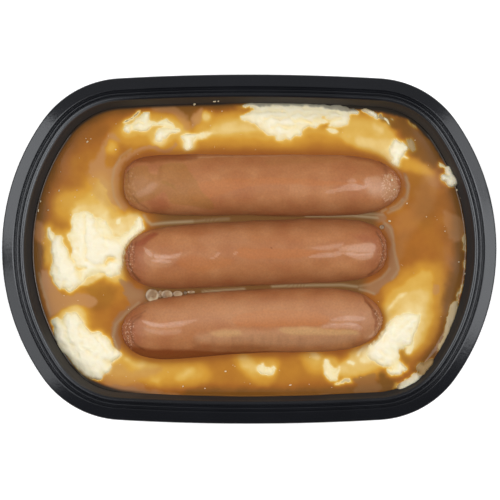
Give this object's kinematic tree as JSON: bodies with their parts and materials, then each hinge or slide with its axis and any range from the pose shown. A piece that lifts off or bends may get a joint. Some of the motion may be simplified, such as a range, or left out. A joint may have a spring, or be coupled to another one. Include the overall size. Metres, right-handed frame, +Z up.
{
  "type": "bangers and mash ready meal",
  "caption": "Cooked sausages lying on mashed potato in brown gravy, served in the shallow black oval tray that holds them.",
  "frame": {"origin": "middle of the tray's footprint, on the surface that the tray stands on", "axes": "+X along the tray's length, +Y across it, +Z up"},
  "size_m": [0.19, 0.1342, 0.035],
  "materials": {
    "tray": "satin black moulded plastic",
    "mash": "moist cream potato",
    "gravy": "glossy brown gravy",
    "sausage": "moist pink-brown skin"
  },
  "bodies": {
    "root": {"tray": "tray", "mash": "mash", "gravy": "gravy", "sausage_1": "sausage", "sausage_2": "sausage", "sausage_3": "sausage"}
  },
  "joints": []
}
